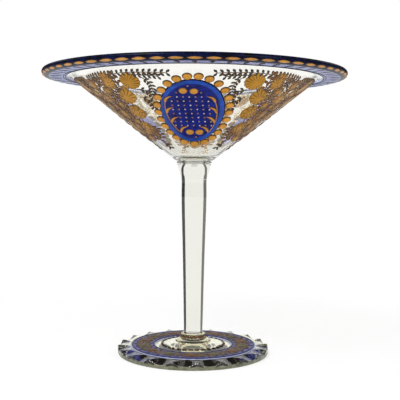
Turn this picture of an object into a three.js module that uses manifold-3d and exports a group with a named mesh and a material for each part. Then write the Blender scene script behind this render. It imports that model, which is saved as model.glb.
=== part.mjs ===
// Glass tazza: a wide cone-shaped bowl on a tall facet-cut stem and a scallop-cut foot, all clear glass,
// with blue enamel panels and raised gilding fired on the outside.
// Millimetres, +Z up. The origin is the centre of the foot's underside. -Y is the front.
import * as THREE from 'three';
import { mergeVertices } from 'three/addons/utils/BufferGeometryUtils.js';
import Module from 'manifold-3d';

const wasm = await Module();
wasm.setup();

// Joins and coats
const JOIN_GAP = 0.3; // between two glass pieces stacked on each other
const COAT_GAP = 0.3; // between the glass and the enamel or gold laid on it

// Foot: a thick flat disc with hollow cuts all round its upper edge
const FOOT_R = 58.8;
const FOOT_T = 5.9;
const FOOT_EDGE_CHAMFER = 0.9;
const STAND_W = 19; // width of the outer ring that the foot stands on
const DISH_DEPTH = 1.2; // ground away inside that ring
const SCALLOPS = 20;
const SCALLOP_TURN = 3; // degrees from the front to the nearest ridge
const SCALLOP_REACH = 9.7; // how far a hollow runs in from the edge on the flat top
const SCALLOP_EDGE_H = 3.0; // what is left of the outer wall in the middle of a hollow
const SCALLOP_WHEEL_R = 17; // radius of the cutting wheel's rim

// Knop between foot and stem
const KNOP_BASE_R = 13.7;
const KNOP_BASE_EDGE = 0.4;
const KNOP_WAIST_R = 9.7;
const KNOP_WAIST_H = 4.4;
const KNOP_SHELF = 0.1; // how far its top stands out past the stem's corners
const KNOP_BULGE = 1.2; // and its ring past its top
const KNOP_H = 9.3;

// Stem: a drawn rod, ground with four broad flats and four narrow ones between them
const STEM_H = 132.2;
const STEM_FOOT_HALF = 7.3; // from the axis to a broad flat, at the knop
const STEM_MID_HALF = 8.6;
const STEM_NECK_HALF = 9.8;
const STEM_NECK_AT = 0.86; // where it is reached, as a share of the height below the flare
const STEM_TOP_R = 13.2;
const STEM_FLARE_H = 13; // height of the round flare under the bowl
const STEM_CANT = 0.74; // a broad flat's half-width as a share of its distance from the axis

// Wafer of glass that joins stem and bowl
const WAFER_T = 1.9;
const WAFER_LIP = 0.5; // how far it stands out past the stem's top

// Bowl
const BOWL_SEAT_R = 14.7;
const CONE_RISE = 38.1; // degrees above level
const WALL = 3.3;
const BOWL_FLOOR = 3.2; // glass under the lowest point of the inside
const FLOOR_BEND_R = 16;
const SHOULDER_R = 95.6; // where the cone's slope and the lip's underside would meet
const SHOULDER_BEND_R = 5;
const LIP_FLAT_W = 13.6; // the level part of the lip
const LIP_TURN_R = 10; // the lip's edge turns up a little
const LIP_TURN = 25; // degrees

// Enamel and gilding
const COAT = 0.4; // thickness of a painted coat of enamel
const LAP_FROM = COAT_GAP + COAT / 4; // underside of what laps over another coat
const BAND_MARGIN = 1.1; // clear glass on either side of the pale blue band under the lip
const EDGE_OVALS = 72;
const EDGE_OVAL_LONG = 3.8; // half-lengths
const EDGE_OVAL_SHORT = 1.8;
const EDGE_OVAL_H = 0.6;
const MEDALLIONS = 3;
const MEDALLION_DROP = 8; // from the shoulder down the slope to the topmost beads
const MEDALLION_HALF_W = 23.2;
const MEDALLION_HALF_L = 32.6;
const BEADS = 25;
const BEAD_R = 3.3;
const BEAD_H = 0.9;
const BEAD_BITE = 0.8; // how far a bead laps over the edge of its medallion
const BLOSSOM_H = 0.8;
const VINE_W = 1.2; // drawn stems of the sprays
const FOOT_BAND_IN_R = 30.5; // enamelled ring on the foot
const FOOT_BAND_MARGIN = 0.9; // between it and the hollows

// Blossoms of one spray, in the order in which the drawn stems reach them: distance down the slope from the
// shoulder to the blossom's edge, degrees from the spray's middle line, radius. The side stem has a twin.
const ROOT_BLOSSOM = { drop: 71.4, turn: 0, r: 4.4 };
const SIDE_BLOSSOMS = [
  { drop: 55.6, turn: 11.5, r: 6.4 },
  { drop: 37.2, turn: 16, r: 7.0 },
  { drop: 19.6, turn: 21, r: 7.2 },
  { drop: 6.8, turn: 28, r: 6.4 },
];
const MIDDLE_BLOSSOMS = [
  { drop: 42.6, turn: 0, r: 4.2 },
  { drop: 17.2, turn: 0, r: 6.6 },
];
const TOP_BLOSSOM = { drop: 6, turn: 13, r: 4.4 };

// How finely round things are stepped
const BOWL_STEPS = EDGE_OVALS; // one gold oval to a facet
const FOOT_STEPS = 3 * SCALLOPS;
const SMALL_STEPS = 32;

const rad = THREE.MathUtils.degToRad;

// Heights, from the foot up
const knopZ = FOOT_T + JOIN_GAP;
const stemZ = knopZ + KNOP_H + JOIN_GAP;
const waferZ = stemZ + STEM_H + JOIN_GAP;
const bowlZ = waferZ + WAFER_T + JOIN_GAP;

// The bowl's outer side: a cone whose own point lies below the seat, and a level lip
const rise = rad(CONE_RISE);
const apexZ = bowlZ - BOWL_SEAT_R * Math.tan(rise);
const lipZ = apexZ + SHOULDER_R * Math.tan(rise);
const shoulderTangent = SHOULDER_BEND_R * Math.tan(rise / 2);
const shoulderX = SHOULDER_R + shoulderTangent;
const shoulderAlong = SHOULDER_R / Math.cos(rise) - shoulderTangent; // up the slope from the cone's own point
const lipTurn = rad(LIP_TURN);
const lipTurnX = shoulderX + LIP_FLAT_W;
const lipTurnZ = lipZ + LIP_TURN_R;

// The stem's corners, where a broad flat meets a narrow one
const stemCorner = Math.atan(STEM_CANT);
const knopTopR = STEM_FOOT_HALF / Math.cos(stemCorner) + KNOP_SHELF;

const group = new THREE.Group();

function material(color, roughness, metalness = 0, opacity = 1) {
  return new THREE.MeshStandardMaterial({ color, roughness, metalness, opacity, transparent: opacity < 1 });
}

const glass = () => material(0xe8e8de, 0.05, 0, 0.35);
const gold = () => material(0xb47d28, 0.35, 0.8);

function add(name, geometry, look) {
  const mesh = new THREE.Mesh(geometry, look);
  mesh.name = name;
  group.add(mesh);
}

const point = (x, z) => new THREE.Vector2(x, z);

// Points of an arc in a profile, from one angle to another, in degrees from level, both ends included.
function arc(x, z, r, from, to, steps) {
  return Array.from({ length: steps + 1 }, (_, i) => {
    const angle = rad(from + ((to - from) * i) / steps);
    return point(x + r * Math.cos(angle), z + r * Math.sin(angle));
  });
}

// A profile of (radius, height) turned about the vertical axis.
function turned(profile, steps) {
  return new THREE.LatheGeometry(profile, steps).rotateX(Math.PI / 2);
}

// A closed body through rings of points, counterclockwise seen from its far end.
// A ring of one point is a pole.
function loft(rings) {
  const positions = rings.flatMap((ring) => ring.flatMap((p) => [p.x, p.y, p.z]));
  const index = [];
  let low = 0;
  for (let k = 0; k + 1 < rings.length; k++) {
    const lowCount = rings[k].length;
    const highCount = rings[k + 1].length;
    const high = low + lowCount;
    const count = Math.max(lowCount, highCount);
    for (let i = 0; i < count; i++) {
      const j = (i + 1) % count;
      if (lowCount > 1) index.push(low + i, low + j, high + (highCount > 1 ? j : 0));
      if (highCount > 1) index.push(low + (lowCount > 1 ? i : 0), high + j, high + i);
    }
    low = high;
  }
  const geometry = new THREE.BufferGeometry();
  geometry.setAttribute('position', new THREE.Float32BufferAttribute(positions, 3));
  geometry.setIndex(index);
  return geometry;
}

function toManifold(geometry) {
  const bare = geometry.clone();
  bare.deleteAttribute('normal');
  bare.deleteAttribute('uv');
  const merged = mergeVertices(bare);
  return new wasm.Manifold(new wasm.Mesh({
    numProp: 3,
    vertProperties: Float32Array.from(merged.attributes.position.array),
    triVerts: Uint32Array.from(merged.index.array),
  }));
}

function fromManifold(manifold) {
  const mesh = manifold.getMesh();
  const geometry = new THREE.BufferGeometry();
  geometry.setAttribute('position', new THREE.BufferAttribute(mesh.vertProperties, 3));
  geometry.setIndex(new THREE.BufferAttribute(mesh.triVerts, 1));
  return geometry;
}

// Seats for what is laid on the glass. Each gives the point at (u, v) on the surface, lifted off it by h:
// u runs round the object, v outwards, and u, v and the lift make a right-handed set.
const onAxis = (angle, r, z) => new THREE.Vector3(r * Math.cos(angle), r * Math.sin(angle), z);

function coneSeat(azimuth, along) {
  return (u, v, h) => {
    const r = (along + v) * Math.cos(rise);
    const z = apexZ + (along + v) * Math.sin(rise);
    return onAxis(azimuth + u / r, r + h * Math.sin(rise), z - h * Math.cos(rise));
  };
}

// The lip's turned-up part is stepped as one flat, so its seat is flat too.
function lipEdgeSeat(azimuth) {
  const half = lipTurn / 2;
  return (u, v, h) => {
    const depth = (LIP_TURN_R + h) * Math.cos(half);
    const r = lipTurnX + depth * Math.sin(half) + v * Math.cos(half);
    return onAxis(azimuth + u / r, r, lipTurnZ - depth * Math.cos(half) + v * Math.sin(half));
  };
}

// Joins bodies that lap over each other into one.
function joined(geometries) {
  return fromManifold(geometries.map(toManifold).reduce((all, next) => all.add(next)));
}

const ellipse = (seat, halfU, halfV, h, sides) => Array.from({ length: sides }, (_, i) => {
  const angle = (2 * Math.PI * (i + 0.5)) / sides;
  return seat(halfU * Math.cos(angle), halfV * Math.sin(angle), h);
});

// A low round button of gold, domed away from its seat.
function button(seat, r, from, height, sides) {
  const dome = 0.75;
  return loft([
    [seat(0, 0, from)],
    ellipse(seat, r, r, from, sides),
    ellipse(seat, r * dome, r * dome, from + height * dome, sides),
    [seat(0, 0, from + height)],
  ]);
}

// Foot. Each hollow is one pass of a round-edged wheel, held at the slope from the flat top to the edge.
function foot() {
  const dishR = FOOT_R - STAND_W;
  const disc = toManifold(turned([
    point(0, DISH_DEPTH),
    point(dishR - 2 * DISH_DEPTH, DISH_DEPTH),
    point(dishR, 0),
    point(FOOT_R - FOOT_EDGE_CHAMFER, 0),
    point(FOOT_R, FOOT_EDGE_CHAMFER),
    point(FOOT_R, FOOT_T),
    point(0, FOOT_T),
  ], FOOT_STEPS));
  const slope = Math.atan2(FOOT_T - SCALLOP_EDGE_H, SCALLOP_REACH);
  const wheel = new THREE.CylinderGeometry(SCALLOP_WHEEL_R, SCALLOP_WHEEL_R, 4 * SCALLOP_REACH, 36);
  wheel.rotateZ(Math.PI / 2); // its axis now lies along X
  wheel.translate(0, 0, SCALLOP_WHEEL_R);
  wheel.rotateY(slope);
  wheel.translate(FOOT_R - SCALLOP_REACH, 0, FOOT_T);
  return Array.from({ length: SCALLOPS }, (_, i) => rad(-90 + SCALLOP_TURN + ((i + 0.5) * 360) / SCALLOPS))
    .reduce((body, azimuth) => body.subtract(toManifold(wheel.clone().rotateZ(azimuth))), disc);
}

// Knop: a spreading base, a waist and a rounded ring that the stem stands on.
function knop() {
  const ringMid = (KNOP_WAIST_H + KNOP_H) / 2;
  const ringHalf = (KNOP_H - KNOP_WAIST_H) / 2;
  const sweep = [0, 1 / 3, 2 / 3, 1].map((t) => point(
    KNOP_WAIST_R + (KNOP_BASE_R - KNOP_WAIST_R) * (1 - t) ** 2,
    KNOP_BASE_EDGE + (KNOP_WAIST_H - KNOP_BASE_EDGE) * t,
  ));
  const ring = [-55, 0, 55].map((angle) => point(
    knopTopR + KNOP_BULGE * Math.cos(rad(angle)),
    ringMid + ringHalf * Math.sin(rad(angle)),
  ));
  return turned([
    point(0, 0),
    point(KNOP_BASE_R - KNOP_BASE_EDGE, 0),
    ...sweep,
    ...ring,
    point(knopTopR, KNOP_H),
    point(0, KNOP_H),
  ], SMALL_STEPS);
}

// Stem: the round rod limited by eight ground flats, whose depth runs out into the flare at the top.
function stem() {
  const neckH = STEM_H - STEM_FLARE_H;
  const flats = new THREE.SplineCurve([
    point(0, STEM_FOOT_HALF),
    point(neckH / 2, STEM_MID_HALF),
    point(neckH * STEM_NECK_AT, STEM_NECK_HALF),
    point(neckH, STEM_NECK_HALF),
    point(neckH + STEM_FLARE_H / 2, THREE.MathUtils.lerp(STEM_NECK_HALF, STEM_TOP_R, 0.4)),
    point(STEM_H, STEM_TOP_R),
  ]);
  const rodNeck = STEM_NECK_HALF / Math.cos(stemCorner);
  const angles = [];
  for (let quarter = 0; quarter < 4; quarter++) {
    const middle = (quarter * Math.PI) / 2;
    for (let i = 0; i < 4; i++) angles.push(middle - stemCorner + (i * stemCorner) / 2);
    for (let i = 0; i < 2; i++) angles.push(middle + stemCorner + i * (Math.PI / 4 - stemCorner));
  }
  const rings = [[new THREE.Vector3(0, 0, 0)]];
  const stations = 14;
  for (let k = 0; k < stations; k++) {
    const at = flats.getPoint(k / (stations - 1));
    const flare = Math.max(0, (at.x - neckH) / STEM_FLARE_H);
    const rod = Math.min(at.y / Math.cos(stemCorner), rodNeck + (STEM_TOP_R - rodNeck) * flare);
    rings.push(angles.map((angle) => {
      const off = Math.abs(((angle + stemCorner) % (Math.PI / 2)) - stemCorner);
      const toBroad = at.y / Math.cos(off);
      const toNarrow = (at.y * (1 + STEM_CANT)) / (Math.cos(off) + Math.sin(off));
      return onAxis(angle, Math.min(rod, toBroad, toNarrow), at.x);
    }));
  }
  rings.push([new THREE.Vector3(0, 0, STEM_H)]);
  return loft(rings);
}

// Wafer: a thin round-edged disc.
function wafer() {
  const r = STEM_TOP_R + WAFER_LIP;
  return turned([
    point(0, 0),
    ...arc(r - WAFER_T / 2, WAFER_T / 2, WAFER_T / 2, -90, 90, 4),
    point(0, WAFER_T),
  ], SMALL_STEPS);
}

// The lip's turned-up edge in profile, from underneath round to the top, lifted off the glass by h.
function lipEdge(h) {
  const middle = LIP_TURN_R - WALL / 2;
  const edgeX = lipTurnX + middle * Math.sin(lipTurn);
  const edgeZ = lipTurnZ - middle * Math.cos(lipTurn);
  return [
    ...arc(lipTurnX, lipTurnZ, LIP_TURN_R + h, -90, -90 + LIP_TURN, 1),
    ...arc(edgeX, edgeZ, WALL / 2 + h, -90 + LIP_TURN, 90 + LIP_TURN, 3).slice(1, -1),
    ...arc(lipTurnX, lipTurnZ, LIP_TURN_R - WALL - h, -90 + LIP_TURN, -90, 1),
  ];
}

// Bowl: one wall of even thickness from the seat up the cone, over the shoulder and out to the edge.
function bowl() {
  const shoulderZ = lipZ - SHOULDER_BEND_R;
  const innerApexZ = apexZ + WALL / Math.cos(rise);
  const floorZ = bowlZ + BOWL_FLOOR;
  const floorX = (floorZ - innerApexZ) / Math.tan(rise) - FLOOR_BEND_R * Math.tan(rise / 2);
  return turned([
    point(0, bowlZ),
    point(BOWL_SEAT_R, bowlZ),
    ...arc(shoulderX, shoulderZ, SHOULDER_BEND_R, 90 + CONE_RISE, 90, 2),
    ...lipEdge(0),
    ...arc(shoulderX, shoulderZ, SHOULDER_BEND_R + WALL, 90, 90 + CONE_RISE, 2),
    ...arc(floorX, floorZ + FLOOR_BEND_R, FLOOR_BEND_R, -90 + CONE_RISE, -90, 2),
    point(0, floorZ),
  ], BOWL_STEPS);
}

// Blue edge: a coat that wraps the turned-up edge and carries a row of raised gold ovals.
function edgeEnamel() {
  const outside = lipEdge(COAT_GAP + COAT);
  const coat = turned([...outside, ...lipEdge(COAT_GAP).reverse(), outside[0]], BOWL_STEPS);
  const root = COAT_GAP + COAT / 2;
  const ovals = Array.from({ length: EDGE_OVALS }, (_, i) => {
    const seat = lipEdgeSeat(rad((360 * (i + 0.5)) / EDGE_OVALS));
    return loft([
      [seat(0, 0, root)],
      ellipse(seat, EDGE_OVAL_LONG, EDGE_OVAL_SHORT, root, 6),
      [seat(0, 0, root + EDGE_OVAL_H)],
    ]);
  });
  return joined([coat, ...ovals]);
}

// A flat ring of enamel.
function band(inner, outer, low, high, steps) {
  const corners = [point(inner, low), point(outer, low), point(outer, high), point(inner, high)];
  return turned([...corners, corners[0]], steps);
}

// Medallion: an oval sheet of enamel that follows the cone, with gold beads lapped on its edge. The beads
// stand at even steps along an oval, with one at the medallion's foot, and the sheet has a corner to each.
function medallion(azimuth) {
  const middle = shoulderAlong - MEDALLION_DROP - 2 * BEAD_R + BEAD_BITE - MEDALLION_HALF_L;
  const seat = coneSeat(azimuth, middle);
  const oval = (out) => new THREE.EllipseCurve(
    0, 0, MEDALLION_HALF_W + out, MEDALLION_HALF_L + out, -Math.PI / 2, 1.5 * Math.PI,
  );
  const evenSteps = (out) => oval(out).getSpacedPoints(BEADS).slice(0, BEADS);
  const corners = evenSteps(0);
  const sheet = (share, h) => corners.map((at) => seat(at.x * share, at.y * share, h));
  const inner = 0.55;
  const top = COAT_GAP + COAT;
  const panel = loft([
    [seat(0, 0, COAT_GAP)],
    sheet(inner, COAT_GAP),
    sheet(1, COAT_GAP),
    sheet(1, top),
    sheet(inner, top),
    [seat(0, 0, top)],
  ]);
  const beads = evenSteps(BEAD_R - BEAD_BITE).map((at) => {
    const along = middle + at.y;
    const turn = at.x / (along * Math.cos(rise));
    return button(coneSeat(azimuth + turn, along), BEAD_R, LAP_FROM, BEAD_H, 6);
  });
  return joined([panel, ...beads]);
}

// A blossom's middle, up the slope from the cone's own point.
const blossomAlong = (b) => shoulderAlong - b.drop - b.r;

// A drawn line of gold on the cone, through the middles of blossoms.
function vine(azimuth, blossoms) {
  const line = new THREE.SplineCurve(blossoms.map((b) => point(rad(b.turn), blossomAlong(b))));
  const steps = 3 * (blossoms.length - 1);
  const at = Array.from({ length: steps + 1 }, (_, i) => line.getPoint(i / steps));
  const seats = at.map((p) => coneSeat(azimuth + p.x, p.y));
  const rings = at.map((p, i) => {
    const before = at[Math.max(i - 1, 0)];
    const after = at[Math.min(i + 1, steps)];
    const run = point((after.x - before.x) * p.y * Math.cos(rise), after.y - before.y).setLength(VINE_W / 2);
    return [[-1, 0], [0, 1], [1, 0]].map(([side, up]) => (
      seats[i](side * run.y, -side * run.x, LAP_FROM + up * COAT)
    ));
  });
  const middle = LAP_FROM + COAT / 2;
  return loft([[seats[0](0, 0, middle)], ...rings, [seats[steps](0, 0, middle)]]);
}

// Spray: stems that branch from one blossom at the bottom and run from blossom to blossom.
function spray(azimuth) {
  const twin = (b) => ({ ...b, turn: -b.turn });
  const tops = [TOP_BLOSSOM, twin(TOP_BLOSSOM)];
  const sides = [SIDE_BLOSSOMS, SIDE_BLOSSOMS.map(twin)];
  const stems = [
    ...sides.map((side) => [ROOT_BLOSSOM, ...side]),
    [ROOT_BLOSSOM, ...MIDDLE_BLOSSOMS],
    ...tops.map((top) => [MIDDLE_BLOSSOMS.at(-1), top]),
  ];
  const heads = [ROOT_BLOSSOM, ...MIDDLE_BLOSSOMS, ...tops, ...sides.flat()];
  const head = (b) => button(coneSeat(azimuth + rad(b.turn), blossomAlong(b)), b.r, COAT_GAP, BLOSSOM_H, 8);
  return joined([
    ...heads.map(head),
    ...stems.map((blossoms) => vine(azimuth, blossoms)),
  ]);
}

function raised(geometry, z) {
  return geometry.translate(0, 0, z);
}

add('foot', fromManifold(foot()), glass());
add('foot_knop', raised(knop(), knopZ), glass());
add('stem', raised(stem(), stemZ), glass());
add('bowl_wafer', raised(wafer(), waferZ), glass());
add('bowl', bowl(), glass());

add('rim_edge_enamel', edgeEnamel(), material(0x101c4c, 0.25));
add('rim_band_enamel', band(
  shoulderX + BAND_MARGIN,
  lipTurnX - BAND_MARGIN,
  lipZ - COAT_GAP - COAT,
  lipZ - COAT_GAP,
  BOWL_STEPS,
), material(0xa5aacd, 0.35));

for (let i = 0; i < MEDALLIONS; i++) {
  const azimuth = rad(-90 + (i * 360) / MEDALLIONS);
  const between = azimuth + Math.PI / MEDALLIONS;
  add(`medallion_${i + 1}`, medallion(azimuth), material(0x0a46d7, 0.2));
  add(`gilt_spray_${i + 1}`, spray(between), gold());
}

add('foot_band_enamel', band(
  FOOT_BAND_IN_R,
  FOOT_R - SCALLOP_REACH - FOOT_BAND_MARGIN,
  FOOT_T + COAT_GAP,
  FOOT_T + COAT_GAP + COAT,
  FOOT_STEPS,
), material(0x555aaa, 0.3));

export default group;
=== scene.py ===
# %% [markdown]
# # A footed glass dish with blue enamel and raised gilding
#
# The object is a tazza: an open cone of clear glass on a tall stem and a round foot. It was blown and
# drawn hot, cut cold on a wheel, painted with enamels and paste, gilded, and fired again. The fixed frame
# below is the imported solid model. Every piece here stands in the place of one of its nodes, or lies on
# one, in the same frame, with finer curves and the real finish.

# %% Load the fixed frame and keep its box
import math

import bmesh
import bpy
import numpy as np
from mathutils import Matrix, Vector


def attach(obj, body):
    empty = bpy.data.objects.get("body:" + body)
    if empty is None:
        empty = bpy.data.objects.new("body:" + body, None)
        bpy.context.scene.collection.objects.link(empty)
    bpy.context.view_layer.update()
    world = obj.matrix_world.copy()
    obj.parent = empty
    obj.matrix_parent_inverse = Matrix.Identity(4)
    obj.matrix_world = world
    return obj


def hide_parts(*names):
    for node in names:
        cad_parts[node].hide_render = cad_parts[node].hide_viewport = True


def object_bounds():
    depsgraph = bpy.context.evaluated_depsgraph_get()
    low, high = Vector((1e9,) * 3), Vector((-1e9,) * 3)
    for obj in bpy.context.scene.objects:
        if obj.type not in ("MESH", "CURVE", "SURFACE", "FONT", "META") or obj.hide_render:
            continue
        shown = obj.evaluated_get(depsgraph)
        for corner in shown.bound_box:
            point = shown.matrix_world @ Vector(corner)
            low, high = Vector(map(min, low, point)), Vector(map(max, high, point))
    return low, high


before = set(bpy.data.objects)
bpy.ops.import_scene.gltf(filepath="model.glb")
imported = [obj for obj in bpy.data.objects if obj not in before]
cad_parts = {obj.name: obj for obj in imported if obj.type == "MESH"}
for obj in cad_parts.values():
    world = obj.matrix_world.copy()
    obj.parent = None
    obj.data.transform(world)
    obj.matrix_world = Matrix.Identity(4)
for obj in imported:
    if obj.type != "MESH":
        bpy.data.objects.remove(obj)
cad_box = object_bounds()
print("nodes:", sorted(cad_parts))

# %% [markdown]
# ## Sizes
#
# The vessel's sizes are in millimetres, as in the solid model, and turn into metres only when a mesh is
# made. Floor, lamps and camera are placed in metres. The bowl's outer side is a cone, and distances up its
# slope are measured from the cone's own point, which lies inside the top of the stem.

# %% Sizes of the glass
MM = 0.001
FOOT_R, FOOT_T, FOOT_CHAMFER, DISH_R, DISH_DEPTH = 58.8, 5.9, 0.9, 39.8, 1.2
SCALLOPS, SCALLOP_TURN, SCALLOP_REACH, SCALLOP_EDGE_H, WHEEL_R = 20, 3.0, 9.7, 3.0, 17.0
KNOP_Z, KNOP_H = 6.2, 9.3
STEM_Z, STEM_H, STEM_FLARE_H, STEM_TOP_R, STEM_CANT = 15.8, 132.2, 13.0, 13.2, 0.70
WAFER_Z, WAFER_T, WAFER_R = 148.3, 1.9, 13.7
BOWL_Z, SEAT_R, WALL, FLOOR_T, FLOOR_BEND_R = 150.5, 14.7, 3.3, 3.2, 16.0
RISE = math.radians(38.1)
SHOULDER_R, SHOULDER_BEND_R, LIP_FLAT_W, LIP_TURN_R, LIP_TURN = 95.6, 5.0, 13.6, 10.0, 25.0

apex_z = BOWL_Z - SEAT_R * math.tan(RISE)
lip_z = apex_z + SHOULDER_R * math.tan(RISE)
shoulder_x = SHOULDER_R + SHOULDER_BEND_R * math.tan(RISE / 2)
shoulder_along = SHOULDER_R / math.cos(RISE) - SHOULDER_BEND_R * math.tan(RISE / 2)
bend_end = shoulder_along + SHOULDER_BEND_R * RISE
lip_turn_x, lip_turn_z = shoulder_x + LIP_FLAT_W, lip_z + LIP_TURN_R
print(f"lip underside at {lip_z:.1f} mm, shoulder at {shoulder_along:.1f} mm up the slope")

# %% [markdown]
# ## Two ways to make a surface
#
# A turned piece is a profile carried round the axis, as on a lathe or a glassblower's rod. Everything
# painted on the cone is worked out flat, as (u, v) on the slope, and then laid on the glass by one
# function, the seat. Whole arrays are used, so one call makes one leaf or three hundred.

# %% Profiles and the turned surface
def about_axis(r, angle, z):
    """Points at a radius, an angle and a height: x and y are the radius times the angle's cosine and sine."""
    return np.stack(np.broadcast_arrays(r * np.cos(angle), r * np.sin(angle), z), -1)


def arc(x, z, r, start, end, steps):
    """Points of an arc in profile: the centre plus the radius times the cosine and sine of even steps of
    angle, from start to end in degrees."""
    t = np.radians(np.linspace(start, end, steps + 1))
    return np.column_stack([x + r * np.cos(t), z + r * np.sin(t)])


def turned(profile, steps=216):
    """A profile of (radius, height) carried round the axis in even steps of angle."""
    r, z = np.asarray(profile, float).T
    return about_axis(r[:, None], np.linspace(0, 2 * np.pi, steps + 1), z[:, None])


# %% The seats
def cone_seat(azimuth, along, u, v, h):
    """A point of the bowl's outside. (along + v) is measured up the profile: the cone, then the bend of the
    shoulder, then the level lip. u runs round at that radius, and h lifts the point off the glass."""
    s = along + v
    turn = np.clip((s - shoulder_along) / SHOULDER_BEND_R, 0, RISE)
    slope = RISE - turn
    on_cone = np.minimum(s, shoulder_along)
    on_lip = np.maximum(s - bend_end, 0)
    r = on_cone * np.cos(RISE) + SHOULDER_BEND_R * (np.sin(RISE) - np.sin(slope)) + on_lip
    z = apex_z + on_cone * np.sin(RISE) + SHOULDER_BEND_R * (np.cos(slope) - np.cos(RISE))
    return about_axis(r + h * np.sin(slope), azimuth + u / r, z - h * np.cos(slope))


def lip_edge_seat(azimuth, along, u, v, h):
    """A point under the turned-up edge. (along + v) is measured up its profile, first the wide curve of the
    lip's turn and then the small curve of the edge itself."""
    t = along + v
    first = np.clip(t / LIP_TURN_R, -1, math.radians(LIP_TURN))
    turn = first + np.maximum(t - LIP_TURN_R * math.radians(LIP_TURN), 0) / (WALL / 2)
    r = lip_turn_x + (LIP_TURN_R - WALL / 2) * np.sin(first) + (WALL / 2 + h) * np.sin(turn)
    z = lip_turn_z - (LIP_TURN_R - WALL / 2) * np.cos(first) - (WALL / 2 + h) * np.cos(turn)
    return about_axis(r, azimuth + u / r, z)


def foot_seat(azimuth, along, u, v, h):
    """A point of the foot's top, its mound included: along + v is the radius, u runs round and h lifts."""
    r = along + v
    return about_axis(r, azimuth + u / r, FOOT_T + mound(r) + h)


# %% Raised forms that lie on a seat
def place_rows(azimuth, along, turn, long, wide, height):
    """Rows of places for raised forms, each column given as an array or as one value for all: where the form
    is, how far it is turned, its half length, half width and height."""
    return np.column_stack(np.broadcast_arrays(azimuth, along, turn, long, wide, height))


def with_share(points, proud):
    """A fourth column for a grid of points: how far each stands proud of the glass, from 0 to 1."""
    return np.concatenate([points, np.broadcast_to(proud, points.shape[:-1])[..., None]], -1)


def laid(seat, places, x, y, lift, low):
    """Lays a form of unit size on each of the places: stretched to its size, turned, and lifted from low."""
    azimuth, along, turn, long, wide, height = np.atleast_2d(places).astype(float).T[:, :, None, None]
    x, y = x * long, y * wide
    u = x * np.cos(turn) - y * np.sin(turn)
    v = x * np.sin(turn) + y * np.cos(turn)
    return seat(azimuth, along, u, v, low + (height - low) * lift)


def mounds(seat, places, outline, rows, low, sides=16):
    """Closed low forms, one for each row of places. A point is the outline's (x, y) times a share of the
    size, at a height given with each share."""
    x, y = outline(np.linspace(0, 2 * np.pi, sides + 1))
    share, lift = np.array(rows, float).T[:, :, None]
    return with_share(laid(seat, places, x * share, y * share, lift, low), lift)


def ribbons(seat, azimuth, paths, wide, height, low, columns=8):
    """Drawn lines: each path is (angle, along) stations, with a half width and a height for each. The section
    is a half ellipse over a flat underside."""
    paths = np.asarray(paths, float)
    radius = np.maximum(paths[..., 1], 1) * (np.cos(RISE) if seat is cone_seat else 1)
    step = np.gradient(paths, axis=-2)
    run = np.stack([step[..., 0] * radius, step[..., 1]], -1)
    run /= np.linalg.norm(run, axis=-1, keepdims=True) + 1e-9
    t = np.linspace(0, 2 * np.pi, columns + 1)
    across = (np.asarray(wide, float)[..., None]) * np.cos(t)
    lift = low + (np.asarray(height, float)[..., None] - low) * np.maximum(np.sin(t), 0)
    u, v = -across * run[..., 1:2], across * run[..., 0:1]
    points = seat(azimuth + paths[..., 0:1], paths[..., 1:2], u, v, lift)
    return with_share(points, np.maximum(np.sin(t), 0))


def smooth_path(points, count):
    """A curve through the points: between two of them it blends the two parabolas of their neighbours."""
    p = np.asarray(points, float)
    p = np.vstack([2 * p[0] - p[1], p, 2 * p[-1] - p[-2]])
    at = np.linspace(0, len(p) - 3 - 1e-9, count)
    i = at.astype(int)
    f = (at - i)[:, None]
    a, b, c, d = p[i], p[i + 1], p[i + 2], p[i + 3]
    return 0.5 * (2 * b + (c - a) * f + (2 * a - 5 * b + 4 * c - d) * f**2 + (3 * b - a - 3 * c + d) * f**3)


# %% Outlines and sections of raised forms
def oval(t):
    """A circle of radius 1."""
    return np.cos(t), np.sin(t)


def egg(t):
    """An oval whose far half is the wider one: the width grows with the height."""
    return np.cos(t) * (1 + 0.17 * np.sin(t)), np.sin(t)


def lens(t):
    """A leaf with two points: the width is one minus the square of the length."""
    return np.cos(t), np.sin(t) * np.abs(np.sin(t))


def drop(t):
    """A stroke that starts thick and runs out thin: the width falls off along the length."""
    return np.cos(t), np.sin(t) * (0.55 + 0.45 * np.cos(t))


def hung_almond(t):
    """An oval drawn to a point at both ends, whose lower half is twice as wide, because it turns away under
    the edge."""
    y = np.sin(t) * np.abs(np.sin(t)) ** 0.5
    return np.cos(t), np.where(y < 0, 2 * y, y)


# a section is (share of the outline, share of the height), from the underside's middle to the top's
DOME = [(0, 0), (1, 0), (1, 0.25), (0.93, 0.55), (0.75, 0.82), (0.45, 0.96), (0, 1)]
SHEET = [(0, 0), (1, 0), (1, 0.6), (0.985, 0.92), (0.95, 1), (0.5, 1), (0, 1)]
LOW_LEAF = [(0, 0), (1, 0), (0.75, 0.7), (0, 1)]
BEAD = [(0, 0), (1, 0), (1, 0.2), (0.9, 0.55), (0.72, 0.85), (0.5, 1), (0.25, 0.96), (0, 0.9)]
FLAT_RIM = [(0, 0), (1, 0), (0.95, 1), (0, 1)]
print("outlines: oval, egg, lens, drop, hung almond; sections: 5")

# %% From grids of points to a piece
MERGE, SLIVER = 1e-6, 1e-7


def quads(n):
    """Four-sided faces between neighbours on grids of point numbers."""
    return np.stack([n[..., :-1, :-1], n[..., :-1, 1:], n[..., 1:, 1:], n[..., 1:, :-1]], -1).reshape(-1, 4)


def add_object(name, data):
    """An object at the origin that shows the mesh, lamp or camera, in the scene."""
    made = bpy.data.objects.new(name, data)
    bpy.context.scene.collection.objects.link(made)
    return made


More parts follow.
